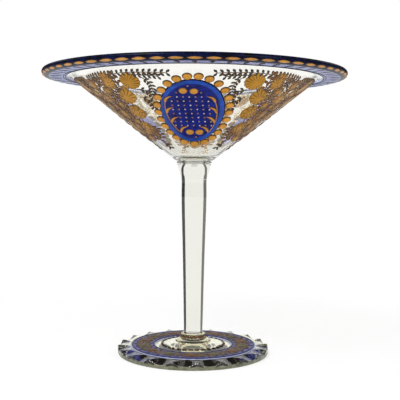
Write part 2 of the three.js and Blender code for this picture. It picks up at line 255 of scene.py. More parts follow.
def piece(name, grids, finish, stands_for=(), sharp=35):
    """One mesh of any number of grids, in millimetres. Each grid's neighbours are joined by four-sided faces,
    doubles are merged, so poles and seams close, and then the faces are turned outwards."""
    points, faces, start = [], [], 0
    for grid in grids:
        if grid.shape[-1] == 3:
            grid = with_share(grid, 1.0)
        rows, columns = grid.shape[-3:-1]
        grid = grid.reshape(-1, rows, columns, 4)
        faces.append(quads(start + np.arange(grid.size // 4).reshape(grid.shape[:3])))
        points.append(grid.reshape(-1, 4))
        start += len(points[-1])
    points, faces = np.vstack(points), np.vstack(faces)
    mesh = bpy.data.meshes.new(name)
    mesh.from_pydata((points[:, :3] * MM).tolist(), [], faces.tolist())
    mesh.attributes.new("proud", "FLOAT", "POINT").data.foreach_set("value", points[:, 3])
    worked = bmesh.new()
    worked.from_mesh(mesh)
    bmesh.ops.remove_doubles(worked, verts=worked.verts, dist=MERGE)
    bmesh.ops.dissolve_degenerate(worked, edges=worked.edges, dist=SLIVER)
    bmesh.ops.recalc_face_normals(worked, faces=worked.faces)
    worked.to_mesh(mesh)
    worked.free()
    mesh.polygons.foreach_set("use_smooth", np.ones(len(mesh.polygons), bool))
    mesh.set_sharp_from_angle(angle=math.radians(sharp))
    mesh.materials.append(finish)
    made = add_object(name, mesh)
    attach(made, "root")
    if stands_for:
        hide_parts(*stands_for)
    print(f"{name}: {len(mesh.vertices)} points, {len(mesh.polygons)} faces")
    return made


# %% [markdown]
# ## Finishes
#
# One small function adds a node, and the others build on it. Colours are written as they look on a screen.

# %% Colour and node helpers
def linear(hex_colour):
    """An sRGB hex colour as linear light, by the standard curve."""
    c = np.array([int(hex_colour[i:i + 2], 16) for i in (1, 3, 5)]) / 255
    return (*np.where(c <= 0.04045, c / 12.92, ((c + 0.055) / 1.055) ** 2.4), 1.0)


def add_node(tree, kind, inputs=None, stops=None, **settings):
    """Adds one node, sets its properties, and fills its sockets with values or with links."""
    made = tree.nodes.new(kind)
    for key, value in settings.items():
        setattr(made, key, value)
    for key, value in (inputs or {}).items():
        if isinstance(value, bpy.types.NodeSocket):
            tree.links.new(value, made.inputs[key])
        else:
            made.inputs[key].default_value = value
    if stops:
        ramp = made.color_ramp
        while len(ramp.elements) < len(stops):
            ramp.elements.new(0.5)
        for element, (at, colour) in zip(ramp.elements, stops):
            element.position, element.color = at, colour
    return made


def noise(tree, scale, detail, roughness=0.5):
    """Noise over the object: its coarsest spots are about 1/scale metres wide, and detail adds finer ones."""
    place = add_node(tree, "ShaderNodeTexCoord").outputs["Object"]
    return add_node(tree, "ShaderNodeTexNoise", {
        "Vector": place, "Scale": scale, "Detail": detail, "Roughness": roughness}).outputs[0]


def maths(tree, operation, *values):
    """One sum on numbers or links, by Blender's name for it."""
    return add_node(tree, "ShaderNodeMath", dict(enumerate(values)), operation=operation).outputs[0]


def new_finish(name):
    """An empty material with its output node."""
    made = bpy.data.materials.new(name)
    made.use_nodes = True
    made.node_tree.nodes.clear()
    return made, made.node_tree, made.node_tree.nodes.new("ShaderNodeOutputMaterial")


def two_sides(tree, proud, above, below):
    """One colour on the raised side and another on the flat underside, where nothing stands proud. Gives the
    share of the raised side, and the colour."""
    upper = maths(tree, "GREATER_THAN", proud, 0.02)
    both = add_node(tree, "ShaderNodeMixRGB", {"Fac": upper, "Color1": linear(below), "Color2": above})
    return upper, both.outputs[0]


def end_finish(tree, out, height, strength, depth, sockets):
    """Ends a material: a bump that is depth metres deep, and the shader with its sockets."""
    bump = add_node(tree, "ShaderNodeBump", {"Height": height, "Strength": strength, "Distance": depth})
    body = add_node(tree, "ShaderNodeBsdfPrincipled", {**sockets, "Normal": bump.outputs["Normal"]})
    tree.links.new(body.outputs[0], out.inputs["Surface"])


# %% [markdown]
# ### Clear glass
#
# The vessel is soda-potash glass, colourless with a faint straw cast. It was blown, so the walls are a
# little wavy, and the cut faces were polished. The lamps' light passes through it, as through real glass,
# so its shadow is pale. Where one looks along a wall its tint darkens to a warm grey: partly a deeper tint
# for the longer path through it, and partly painted shade that draws the dark lines along the edges. The
# foot and the knop are thick, and their tints are deeper. The knop's warm brown tint is partly painted
# reflection of the gilt ornament round it.

# %% Clear glass
def clear_glass(name, straight, grazing, edge):
    """Glass with one tint where it is looked straight through and a darker one where it is looked along."""
    made, tree, out = new_finish(name)
    wave = noise(tree, 45.0, 1.0)
    # The tint darkens towards grazing: partly the longer path, partly painted shade for dark edge lines.
    facing = add_node(tree, "ShaderNodeLayerWeight", {"Blend": 0.5}).outputs["Facing"]
    cast = add_node(tree, "ShaderNodeValToRGB", {"Fac": facing}, stops=[
        (0.0, linear(straight)), (0.7, linear(straight)), (0.92, linear(grazing)), (1.0, linear(edge))])
    bump = add_node(tree, "ShaderNodeBump", {"Height": wave, "Strength": 0.05, "Distance": 0.001})
    body = add_node(tree, "ShaderNodeBsdfPrincipled", {
        "Base Color": cast.outputs["Color"], "Roughness": 0.01, "IOR": 1.5, "Transmission Weight": 1.0,
        "Normal": bump.outputs["Normal"]})
    clear = add_node(tree, "ShaderNodeBsdfTransparent", {"Color": linear("#f6f5ee")})
    shadow = add_node(tree, "ShaderNodeLightPath").outputs["Is Shadow Ray"]
    both = add_node(tree, "ShaderNodeMixShader", {0: shadow, 1: body.outputs[0], 2: clear.outputs[0]})
    tree.links.new(both.outputs[0], out.inputs["Surface"])
    return made


thin_glass = clear_glass("clear_potash_glass_blown", "#faf9f3", "#dcdbcc", "#7c7a6c")
thick_glass = clear_glass("clear_potash_glass_cut", "#eeeee6", "#cfcec0", "#4c4b44")
foot_glass = clear_glass("clear_potash_glass_foot", "#f3f3e0", "#b8b7a0", "#4c4b3c")
# The knop's brown tint is partly its thickness and partly painted reflection of the gilt round it.
knop_glass = clear_glass("clear_potash_glass_knop", "#e8e2d0", "#b0a488", "#5a4e3a")

# %% Ground edge of the foot
# The foot's low wall was ground level and left satin, so it looks olive grey and lets only a little light in.
ground_edge, tree, out = new_finish("potash_glass_ground_satin")
grit = noise(tree, 300.0, 3.0)
stops = [(0.3, linear("#5c5e44")), (0.7, linear("#9a9c80"))]
cast = add_node(tree, "ShaderNodeValToRGB", {"Fac": grit}, stops=stops)
end_finish(tree, out, grit, 0.3, 0.0002, {
    "Base Color": cast.outputs["Color"], "Roughness": 0.35, "IOR": 1.5, "Transmission Weight": 0.35})
print("glasses: 5, IOR 1.5")

# %% [markdown]
# ### Enamels
#
# Enamel is ground coloured glass, painted on and melted at red heat. It keeps brush marks, and it is
# glossy where it flowed. There are three cobalt blues and a violet blue, a lavender and a pale blue, a
# dark brown for the beads' outlines that also paints the shadow at each bead's foot, and white and ochre
# for dots.

# %% Enamels
def enamel(name, light, dark, scale, rough, ground=None, sheen=0.5):
    """Enamel between a light and a dark colour, mottled in spots 1/scale metres wide, with a soft gloss. Its
    underside, seen through the glass, shows the colour of the ground that it was laid on."""
    made, tree, out = new_finish(name)
    stops = [(0.35, linear(dark)), (0.65, linear(light))]
    colour = add_node(tree, "ShaderNodeValToRGB", {"Fac": noise(tree, scale, 4.0)}, stops=stops)
    proud = add_node(tree, "ShaderNodeAttribute", attribute_name="proud").outputs["Fac"]
    _, both = two_sides(tree, proud, colour.outputs["Color"], ground or dark)
    end_finish(tree, out, noise(tree, 4 * scale, 2.0), 0.25, 0.0003, {
        "Base Color": both, "Roughness": rough, "IOR": 1.5, "Specular IOR Level": sheen})
    return made


navy = enamel("cobalt_enamel_dark", "#0b1234", "#05060f", 220, 0.3, "#8487b8", 0.06)
bright_blue = enamel("cobalt_enamel_bright", "#0a44a6", "#063484", 160, 0.25, "#8a8cb4", 0.25)
field_blue = enamel("cobalt_enamel_field", "#0a1e7a", "#060e4e", 200, 0.3, sheen=0.15)
lavender = enamel("lavender_enamel", "#a6acd2", "#8087b4", 260, 0.4, sheen=0.2)
violet_blue = enamel("violet_blue_enamel", "#484ea8", "#34387c", 200, 0.35, "#1c1210", 0.2)
# The dark brown round each bead is partly a painted outline and partly painted shadow at its foot.
dark_brown = enamel("brown_outline_and_shade_enamel", "#3a2a14", "#1e160a", 400, 0.4, "#6c5c44", 0.2)
pale_blue = enamel("pale_blue_enamel", "#c6cbe2", "#a6aed2", 300, 0.4, sheen=0.2)
white_dots = enamel("white_enamel_dots", "#dccccc", "#b09090", 240, 0.3, sheen=0.2)
ochre_dots = enamel("ochre_enamel_dots", "#b08844", "#8a5048", 240, 0.3, sheen=0.2)
print("enamels: 9")

# %% [markdown]
# ### Raised gilding
#
# A paste of ground clay and flux is piped on, fired, covered with liquid gold and fired again. The gold
# has a coarse and a fine random grain, and its underside shows the brown of the bare paste. Its colour also
# holds painted shade and painted highlight: brown to near black in the grooves and round the foot of each
# raised form, and brightest on the tops.

# %% Raised gilding
def gilding(name, bright, worn_and_lit, hollow, outline, metal, rough, paste="#86683c"):
    """Gold over paste, with a coarse and a fine grain. Painted highlight where it stands proud, and painted
    shade, brown, in the hollows and round the edges. The underside, seen through the glass, is the bare
    paste."""
    made, tree, out = new_finish(name)
    grain = noise(tree, 420.0, 5.0, 0.65)
    patch = noise(tree, 90.0, 2.0)
    proud = add_node(tree, "ShaderNodeAttribute", attribute_name="proud").outputs["Fac"]
    # The colour follows how proud each point stands: painted shade, dark brown, in grooves and round each
    # form's foot, and painted highlight on its top. The grain adds a random tone.
    worked = maths(tree, "MULTIPLY_ADD", maths(tree, "ADD", grain, patch), 0.55, proud)
    share = maths(tree, "MULTIPLY", worked, 0.6)
    colour = add_node(tree, "ShaderNodeValToRGB", {"Fac": share}, stops=[
        (0.42, linear(outline)), (0.58, linear(hollow)), (0.78, linear(worn_and_lit)), (0.98, linear(bright))])
    upper, both = two_sides(tree, proud, colour.outputs["Color"], paste)
    covered = maths(tree, "MULTIPLY", upper, metal)
    end_finish(tree, out, grain, 0.5, 0.0003, {"Base Color": both, "Metallic": covered, "Roughness": rough})
    return made


gold = gilding("matt_gilding_on_paste", "#d89a3c", "#b67a24", "#704815", "#301d0a", 0.6, 0.4)
rim_gold = gilding("matt_gilding_on_the_rim", "#d09848", "#a67234", "#724e20", "#382610", 0.5, 0.4)
# The flowers' gold holds painted shade in the petal grooves and at each flower's edge.
flower_gold = gilding("worn_and_shaded_gilding_on_flowers", "#c08a26", "#966a16", "#5c400e", "#2a1c0a", 0.8, 0.42)
dark_gold = gilding("thin_gilding_brown", "#8c6028", "#6a461c", "#422c10", "#201408", 0.5, 0.45)
# The leaves are painted near black: painted shade, for small gold leaves in shade against the bright
# surround.
leaf_brown = gilding("leaf_gilding_in_painted_shade", "#44320f", "#2c1f0c", "#1c130a", "#0e0a06", 0.2, 0.45,
                     "#b0a282")
foot_gold = gilding("gilding_on_the_foot", "#84592a", "#5e3c1c", "#3a2412", "#1c120c", 0.4, 0.45)
olive_gold = gilding("olive_gilding", "#6c6430", "#4c4620", "#302c16", "#1c1a10", 0.3, 0.45)
# The rope is painted dark all round: painted shade over burnished gold.
rope_gold = gilding("burnished_gilding_in_painted_shade", "#7c5828", "#4a3216", "#22160a", "#0e0806", 0.9, 0.28)
print("gildings: 8")

# %% [markdown]
# ## The foot
#
# A thick disc of glass that rises in a low mound towards the knop. Twenty hollows were cut into its upper
# edge, each one pass of a round-edged wheel held at a slope. The top is therefore the lower of two
# heights: the flat, and the wheel's cylinder at that point. The low wall left under the hollows was
# ground, and has its own finish.

# %% Foot
MOUND_R, MOUND_TOP_R, MOUND_H = 29.5, 14.2, 3.1
SOFT_EDGE = 0.12
FOOT_STEPS = SCALLOPS * 24


def mound(r):
    """The foot's low rise towards the knop: a straight slope between two radii, level inside and outside."""
    return MOUND_H * np.clip((MOUND_R - r) / (MOUND_R - MOUND_TOP_R), 0, 1)


def foot_top(r, angle):
    """Height of the foot's top: the flat, or the nearest hollow where that is lower, blended over SOFT_EDGE.
    A hollow is a cylinder whose lowest line falls from the flat top to the edge, so its height adds the
    wheel's roundness to that line."""
    pitch = 2 * np.pi / SCALLOPS
    middle = math.radians(-90 + SCALLOP_TURN) + pitch / 2
    off = (angle - middle + pitch / 2) % pitch - pitch / 2
    out, side = r * np.cos(off), r * np.sin(off)
    slope = math.atan2(FOOT_T - SCALLOP_EDGE_H, SCALLOP_REACH)
    wheel = WHEEL_R - np.sqrt(WHEEL_R**2 - np.minimum(side, WHEEL_R * 0.99) ** 2)
    hollow = FOOT_T - (out - (FOOT_R - SCALLOP_REACH)) * math.tan(slope) + wheel / math.cos(slope)
    return mound(r) - SOFT_EDGE * np.logaddexp(-FOOT_T / SOFT_EDGE, -hollow / SOFT_EDGE)


angle = np.linspace(0, 2 * np.pi, FOOT_STEPS + 1)
flat_radii = [0.0, MOUND_TOP_R, 18, 22, 26, MOUND_R, 40, 46]
cut_radii = np.linspace(48, FOOT_R - 0.3, 26)
radii = np.concatenate([flat_radii, cut_radii, [FOOT_R - 0.08]])[:, None]
top = about_axis(radii, angle, foot_top(radii, angle))
edge_r = np.array([FOOT_R, FOOT_R, FOOT_R, FOOT_R - 0.25, FOOT_R - FOOT_CHAMFER])[:, None]
edge_top = foot_top(FOOT_R, angle)
halfway = 0.5 * (edge_top + FOOT_CHAMFER)
edge_z = np.stack(np.broadcast_arrays(edge_top - 0.1, halfway, FOOT_CHAMFER, 0.3, 0.0))
edge = about_axis(edge_r, angle, edge_z)
dish = [(DISH_R, 0), (DISH_R - 1, 0.7), (DISH_R - 2.4, DISH_DEPTH), (20, DISH_DEPTH), (0, DISH_DEPTH)]
foot = piece("foot_glass", [np.concatenate([top, edge, turned(dish, FOOT_STEPS)])], foot_glass,
             ["foot"], 30)

# %% The ground wall's finish
foot.data.materials.append(ground_edge)
centres = np.empty(3 * len(foot.data.polygons))
foot.data.polygons.foreach_get("center", centres)
x, y, z = centres.reshape(-1, 3).T / MM
on_edge = (np.hypot(x, y) > FOOT_R - 0.6) & (z < SCALLOP_EDGE_H)
foot.data.polygons.foreach_set("material_index", on_edge.astype(np.int32))
print(f"ground faces: {on_edge.sum()}")

# %% [markdown]
# ## Knop, stem, wafer and bowl
#
# The knop, the wafer and the bowl were shaped on the rod while hot, so their forms are turned. The knop
# is a bulge over a skirt that spreads like a bell, with a band of small gilt leaves. The stem is a drawn
# rod that was ground flat on eight sides: four broad flats and four narrow ones. At each height the
# section is the rod, cut off where a flat is nearer to the axis. On the real vessel these pieces are
# fused, so here stem and wafer go past their ends by JOIN, and the knop by half of it, into the next piece.

# %% Knop
JOIN = 0.6
knop_z = FOOT_T + MOUND_H
knop_points = [
    (13.2, 0.05), (13.9, 0.2), (13.8, 0.7), (12.6, 1.5), (11.3, 2.2), (10.4, 2.9), (10.1, 3.7), (10.0, 4.5),
    (9.7, 5.3), (9.1, 5.9), (8.2, 6.3)]
knop_side = smooth_path(knop_points, 60) + [0, knop_z]
knop_top = KNOP_Z + KNOP_H
knop_under = [(0, knop_z - JOIN / 2), (12.6, knop_z - JOIN / 2), (12.7, knop_z + 0.05)]
knop_profile = np.vstack([knop_under, knop_side, [(7.4, knop_top), (0, knop_top)]])
piece("foot_knop_glass", [turned(knop_profile, 128)], knop_glass, ["foot_knop"], 50)


def knop_seat(azimuth, along, u, v, h):
    """A point of the knop's bulge: along + v is the height, and the radius is read from the knop's side."""
    z = along + v
    bulge = knop_side[knop_side[:, 1] > knop_z + 0.8]
    r = np.interp(z, bulge[:, 1], bulge[:, 0]) + h
    return about_axis(r, azimuth + u / r, z)


KNOP_LEAVES = 40
i = np.arange(KNOP_LEAVES)
leans = np.radians(50 + 80 * (i % 2))
sprig = place_rows(np.radians(i * 360 / KNOP_LEAVES), knop_z + 4.4, leans, 1.7, 0.85, 0.3)
piece("knop_leaves", [mounds(knop_seat, sprig, lens, LOW_LEAF, -0.05, 8)], foot_gold)

# %% Stem
FOOT_HALF, MIDDLE_HALF, NECK_HALF = 7.3, 8.6, 9.8
SHARPNESS = 90
corner = math.atan(STEM_CANT)
neck_h = STEM_H - STEM_FLARE_H
keys = [(0, FOOT_HALF), (neck_h / 2, MIDDLE_HALF), (neck_h * 0.86, NECK_HALF), (neck_h, NECK_HALF),
        (neck_h + STEM_FLARE_H / 2, NECK_HALF + 0.4 * (STEM_TOP_R - NECK_HALF)), (STEM_H, STEM_TOP_R)]
height, half = smooth_path(keys, 90).T[:, :, None]
angle = np.linspace(0, 2 * np.pi, 8 * 28 + 1)
off = np.abs((angle + corner) % (np.pi / 2) - corner)
rod_neck = NECK_HALF / math.cos(corner)
flare = np.clip((height - neck_h) / STEM_FLARE_H, 0, 1)
rod = np.minimum(half / math.cos(corner), rod_neck + (STEM_TOP_R - rod_neck) * flare)
broad = half / np.cos(off)
narrow = half * (1 + STEM_CANT) / (np.cos(off) + np.sin(off))
# the least of the three radii, through a high power that barely rounds the edges
section = (rod**-SHARPNESS + broad**-SHARPNESS + narrow**-SHARPNESS) ** (-1 / SHARPNESS)
side = about_axis(section, angle, STEM_Z + height)
middle = np.zeros((1, angle.size, 3))
foot_end, bowl_end = side[:1] * [0.9, 0.9, 1], side[-1:] * [0.9, 0.9, 1]
stem = [middle + [0, 0, STEM_Z - JOIN], foot_end - [0, 0, JOIN], foot_end, side,
        bowl_end, bowl_end + [0, 0, JOIN], middle + [0, 0, STEM_Z + STEM_H + JOIN]]
piece("stem_glass", [np.concatenate(stem)], thick_glass, ["stem"], 30)

# %% Wafer
wafer_edge = arc(WAFER_R - WAFER_T / 2, WAFER_T / 2, WAFER_T / 2, -90, 90, 12)
wafer_top = [(12.6, WAFER_T), (12.5, WAFER_T + JOIN), (0, WAFER_T + JOIN)]
wafer = np.vstack([[(0, 0)], wafer_edge, wafer_top]) + [0, WAFER_Z]
piece("bowl_wafer_glass", [turned(wafer, 128)], thick_glass, ["bowl_wafer"], 50)

# %% Bowl
def lip_edge(h):
    """The lip's turned-up edge in profile, from underneath round to the top, lifted off the glass by h."""
    middle = LIP_TURN_R - WALL / 2
    x = lip_turn_x + middle * math.sin(math.radians(LIP_TURN))
    z = lip_turn_z - middle * math.cos(math.radians(LIP_TURN))
    return np.vstack([
        arc(lip_turn_x, lip_turn_z, LIP_TURN_R + h, -90, -90 + LIP_TURN, 8),
        arc(x, z, WALL / 2 + h, -90 + LIP_TURN, 90 + LIP_TURN, 14)[1:-1],
        arc(lip_turn_x, lip_turn_z, LIP_TURN_R - WALL - h, -90 + LIP_TURN, -90, 8)])


rise_deg = math.degrees(RISE)
inner_apex_z = apex_z + WALL / math.cos(RISE)
floor_z = BOWL_Z + FLOOR_T
floor_x = (floor_z - inner_apex_z) / math.tan(RISE) - FLOOR_BEND_R * math.tan(RISE / 2)
shoulder_z = lip_z - SHOULDER_BEND_R
bowl_profile = np.vstack([
    [(0, BOWL_Z), (SEAT_R - 0.3, BOWL_Z), (SEAT_R + 0.1, BOWL_Z + 0.2)],
    arc(shoulder_x, shoulder_z, SHOULDER_BEND_R, 90 + rise_deg, 90, 14),
    lip_edge(0),
    arc(shoulder_x, shoulder_z, SHOULDER_BEND_R + WALL, 90, 90 + rise_deg, 14),
    arc(floor_x, floor_z + FLOOR_BEND_R, FLOOR_BEND_R, -90 + rise_deg, -90, 10),
    [(0, floor_z)]])
piece("bowl_glass", [turned(bowl_profile, 256)], thin_glass, ["bowl"], 50)

# %% [markdown]
# ## The rim
#
# A dark blue coat wraps the turned-up edge, with a row of sixty gold ovals under it. Below it, on the
# level lip, lies a sheer lavender band. Fine dark strokes start thick at its outer edge and run out thin
# towards the bowl, where two thin lines close it. Coat and band are turned rings that stand COAT proud of
# the glass, with their backs SUNK into it by a hair's breadth. They meet TURN_ROWS rows up the edge's turn.

# %% Rim enamel
COAT, SUNK = 0.7, 0.05
TURN_ROWS = 1
# the coat's outside stays within the box of the fixed frame
outside = np.minimum(lip_edge(COAT), [cad_box[1][0] / MM, cad_box[1][2] / MM])[TURN_ROWS:]
coat = turned(np.vstack([outside, lip_edge(-SUNK)[:TURN_ROWS - 1:-1], outside[:1]]), 288)
piece("rim_edge_coat", [coat], navy, ["rim_edge_enamel"], 50)

RIM_OVALS = 60
rim_turns = np.radians(np.arange(RIM_OVALS) * 360 / RIM_OVALS)
ovals = place_rows(rim_turns, 4.75, 0, 5.4, 0.75, 0.95)
piece("rim_gold_ovals", [mounds(lip_edge_seat, ovals, hung_almond, DOME, 0.5, 20)], rim_gold)

band_in, band_out = shoulder_x + 1.1, lip_turn_x
band = np.vstack([
    [(band_in, lip_z - COAT)], lip_edge(COAT)[:TURN_ROWS + 1], lip_edge(-SUNK)[TURN_ROWS::-1],
    [(band_in, lip_z + SUNK), (band_in, lip_z - COAT)]])
piece("rim_band_coat", [turned(band, 288)], lavender, ["rim_band_enamel"], 30)

# %% Strokes and lines on the band
def lip_seat(azimuth, along, u, v, h):
    """A point of the lip's level underside: along + v is the radius, u runs round and h hangs below."""
    r = along + v
    return about_axis(r, azimuth + u / r, lip_z - h)


def flat_ring(inner, outer, low, high):
    """The closed profile of a flat ring between two radii and two heights."""
    return np.array([(inner, low), (outer, low), (outer, high), (inner, high), (inner, low)])


strokes = place_rows(rim_turns, band_out - 4.6, np.pi / 2 + 0.12, 5.7, 3.2, 0.95)
piece("rim_band_strokes", [mounds(lip_seat, strokes, drop, LOW_LEAF, 0.6, 16)], navy)
rings = [turned(flat_ring(r, r + 0.7, lip_z - 0.95, lip_z - 0.6), 216)
         for r in (band_in + 0.1, band_in + 1.9)]
piece("rim_band_lines", rings, navy, (), 30)

# %% [markdown]
# ## Medallions
#
# Three egg-shaped panels of cobalt enamel, wider above, each framed by twenty-five gold beads. The border
# is a brighter blue than the field. Outline, border and field are closed sheets that lie on each other. On
# the field stand white and ochre dots in staggered rows, two gold ovals at each end and a leafy scroll down
# each side.

# %% Places on a medallion
BEADS, BEAD_R, HALF_W, HALF_L = 25, 3.3, 23.2, 32.6
BEAD_OVERLAP, BEAD_SHIFT, GAP_ABOVE = 0.8, 0.8, 7.4
FIELD_LEAN, FIELD_SHIFT, DOT_STEP = 0.085, 0.6, 4.25
medallion_along = shoulder_along - GAP_ABOVE - 2 * BEAD_R + BEAD_OVERLAP - HALF_L


def even_egg(half_w, half_l, count):
    """Points at even steps along the egg's outline, by the length along it, from its narrow end."""
    t = np.linspace(-np.pi / 2, 1.5 * np.pi, 721)
    x, y = egg(t)
    x, y = half_w * x, half_l * y
    length = np.concatenate([[0], np.cumsum(np.hypot(np.diff(x), np.diff(y)))])
    at = np.arange(count) * length[-1] / count
    return np.interp(at, length, x), np.interp(at, length, y)


def places_on_medallion(azimuth, u, v, long, wide, height):
    """Rows of places for mounds at (u, v) on a medallion, whose pattern leans a little to one side."""
    v = np.asarray(v, float)
    along = medallion_along + v
    turn = azimuth + (u - FIELD_LEAN * v - FIELD_SHIFT) / (along * math.cos(RISE))
    return place_rows(turn, along, 0, long, wide, height)


def scroll(base_u, base_v, side):
    """A curled leaf: from its base it runs up and bends inwards, widest a third of the way along."""
    k = np.linspace(0, 1, 21)
    u = base_u - side * (-2 * k * (1 - k) * 0.4 + k**2 * 6.0)
    v = base_v + 2 * k * (1 - k) * 6.2 + k**2 * 6.6
    return u, v, 1.25 * np.sin(np.pi * k**0.62), 1.45


print(f"medallions' middle {medallion_along:.1f} mm up the slope")

# %% The parts of a medallion
def medallion_sheets(name, azimuth):
    """The outline, the border and the field, each a sheet of enamel on the one before."""
    sheets = [("outline", 0, -0.05, 0.62, navy, [name]),
              ("border", 0.8, 0.3, 0.75, bright_blue, ()),
              ("field", 3.9, 0.5, 0.88, field_blue, ())]
    for part, inset, low, high, finish, stands_for in sheets:
        one = place_rows(azimuth, medallion_along, 0, HALF_W - inset, HALF_L - inset, high)
        piece(f"{name}_{part}", [mounds(cone_seat, one, egg, SHEET, low, 96)], finish,
              stands_for, 40)


def medallion_beads(name, azimuth):
    """The frame of gold beads, each on a thin dark brown rim that shows round it: partly a painted outline,
    and partly painted shadow at the bead's foot.
    """
    x, y = even_egg(HALF_W + BEAD_R - BEAD_OVERLAP, HALF_L + BEAD_R - BEAD_OVERLAP, BEADS)
    along = medallion_along + y
    where = azimuth + (x + BEAD_SHIFT) / (along * math.cos(RISE))
    beads = place_rows(where, along + 0.1, 0, 3.4, 3.15, 0.8)
    piece(name + "_beads", [mounds(cone_seat, beads, oval, BEAD, 0.05, 24)], gold)
    rims = place_rows(where, along + 0.35, 0, 3.55, 3.25, 0.35)
    piece(name + "_bead_outlines_and_shade", [mounds(cone_seat, rims, oval, FLAT_RIM, -0.05, 24)], dark_brown)


def medallion_dots(name, azimuth):
    """White and ochre dots in turn on a square net, kept clear of the scrolls and the gold ovals."""
    x, y = (c.ravel() for c in np.meshgrid(np.arange(-4, 5), np.arange(-6, 7)))
    u, v = DOT_STEP * x, DOT_STEP * y - 1.0
    inside = (u / (HALF_W - 7.5)) ** 2 + (v / (HALF_L - 7)) ** 2 < 1
    inside &= ~((np.abs(v) > 17) & (np.abs(u) < 8))
    kinds = [("white_dots", white_dots, 0.66, 0, []),
             ("ochre_dots", ochre_dots, 0.72, 1, [(0.0, 26.6), (0.4, -26.4)])]
    for part, finish, size, own, ends in kinds:
        keep = inside & ((x + y) % 2 == own)
        at = np.vstack([np.column_stack([u[keep], v[keep]]), *ends])
        dots = places_on_medallion(azimuth, *at.T, size, size, 1.25)
        grid = mounds(cone_seat, dots, oval, LOW_LEAF, 0.7, 8)
        piece(f"{name}_{part}", [grid], finish)


def medallion_scrolls(name, azimuth):
    """On each side a fine line inside the border, and four curled leaves that start from it."""
    low = 0.75
    taper = np.sin(np.linspace(0, np.pi, 21))
    grids = []
    for side in (-1, 1):
        t = np.radians(np.linspace(-58, 30, 21))
        x, y = egg(t)
        lines = [(side * (HALF_W - 5.2) * x, (HALF_L - 5.2) * y, 0.38 + 0 * t, 1.1)]
        lines += [scroll(side * (HALF_W - 5.6) * x, (HALF_L - 5.6) * y, side)
                  for x, y in zip(*egg(np.radians([-52, -24, -2, 22])))]
        for u, v, wide, high in lines:
            place = places_on_medallion(0.0, u, v, 0, 0, 0)[:, :2]
            grids.append(ribbons(cone_seat, azimuth, place, wide * np.minimum(1, 4 * taper),
                                 low + (high - low) * np.minimum(1, 2 * taper), low))
    piece(name + "_scrolls", grids, gold)


# %% Three medallions
PAINT_TURN = -1.4
for k in range(3):
    azimuth = math.radians(-90 + PAINT_TURN + 120 * k)
    name = f"medallion_{k + 1}"
    medallion_sheets(name, azimuth)
    medallion_beads(name, azimuth)
    medallion_dots(name, azimuth)
    ends = places_on_medallion(azimuth, [-3.7, 3.7, -3.4, 3.4], [22, 21.6, -21, -21], 3.1, 3.0, 1.6)
    piece(name + "_gold_ovals", [mounds(cone_seat, ends, oval, BEAD, 0.6, 20)], gold)
    medallion_scrolls(name, azimuth)

# %% [markdown]
# ## Gilt sprays
#
# Between two medallions a spray of flowers climbs the cone: five large heads up each side of a middle
# line, with buds between them, and more on the line itself. The main stems are bare. Fine leafy stems
# fill the space inside them, along the top and towards the beads. Each flower is one raised form whose
# height is a dome with petal grooves. Each leaf is a lens, set in pairs along its stem.

# %% Flowers
def flowers(seat, places, petals, rings, low, sides=72, heart=0.0):
    """Raised flowers, one for each row of places. The outline has a lobe to each petal. The height is a
    dome, less a narrow groove between two petals and one inside each ring of petals. The heart moves the
    middle of the rings down the length by that share of it."""
    t = np.linspace(0, 2 * np.pi, sides + 1)
    share = np.concatenate([[0, 1, 1], np.linspace(0.96, 0.06, 16), [0]])[:, None]
    dome = np.where(share < 1, 0.45 + 0.55 * (1 - share**2) ** 0.5, 0.25)
    dome[:2] = 0
    lobe = np.abs(np.cos(petals * t / 2))
    reach = share * (1 - 0.1 * share * (1 - lobe**0.6))
    ring = np.abs((share * (rings + 0.5)) % 1 - 0.5) * 2
    between = np.exp(-((lobe / 0.35) ** 2)) * np.clip(3 * share - 0.6, 0, 1)
    cut = np.maximum(between, np.exp(-(((1 - ring) / 0.28) ** 2)) * (rings > 0)) * (dome > 0.3)
    x, y = np.cos(t) * reach - heart * (1 - share), np.sin(t) * reach
    points = laid(seat, places, x, y, dome - 0.22 * cut, low)
    # The proud share falls in the grooves and towards the edge, so the gilding paints shade there.
    return with_share(points, np.where(dome > 0.3, 1 - 0.65 * cut, dome))


# heads of one side: (degrees from the middle line, distance up the slope, half length, half width, petals,
# rings, degrees that the length is turned from level, share by which the heart is moved)
HEADS = [
    (12.6, 58.2, 6.4, 6.4, 9, 2, 60, 0.0), (16.7, 75.0, 7.6, 7.6, 8, 3, 60, 0.0),
    (19.8, 91.0, 8.8, 6.8, 11, 0, 35, 0.3), (29.0, 106.2, 8.8, 7.8, 15, 0, 35, 0.35),
    (15.2, 108.0, 8.6, 6.6, 13, 0, 70, 0.4), (8.3, 84.0, 3.9, 3.9, 6, 1, 80, 0.0),
    (7.0, 65.2, 3.2, 3.4, 6, 1, 80, 0.0), (5.6, 53.0, 3.0, 3.2, 6, 1, 80, 0.0),
    (8.0, 99.0, 4.4, 4.8, 8, 1, 80, 0.2), (22.4, 99.6, 2.8, 2.8, 6, 1, 80, 0.0)]
MIDDLES = [
    (0, 46.4, 4.4, 4.4, 8, 1, 90, 0.0), (0, 74.0, 5.4, 4.6, 8, 2, 90, 0.0),
    (0, 92.6, 7.0, 6.6, 12, 1, 90, 0.3), (0, 60.6, 3.8, 3.2, 6, 1, 90, 0.0),
    (0, 107.4, 5.8, 5.6, 9, 1, 90, 0.3), (0, 83.2, 3.0, 2.6, 6, 1, 90, 0.0)]
FLOWER_H = 0.45
print(f"flowers in one spray: {len(MIDDLES) + 2 * len(HEADS)}")

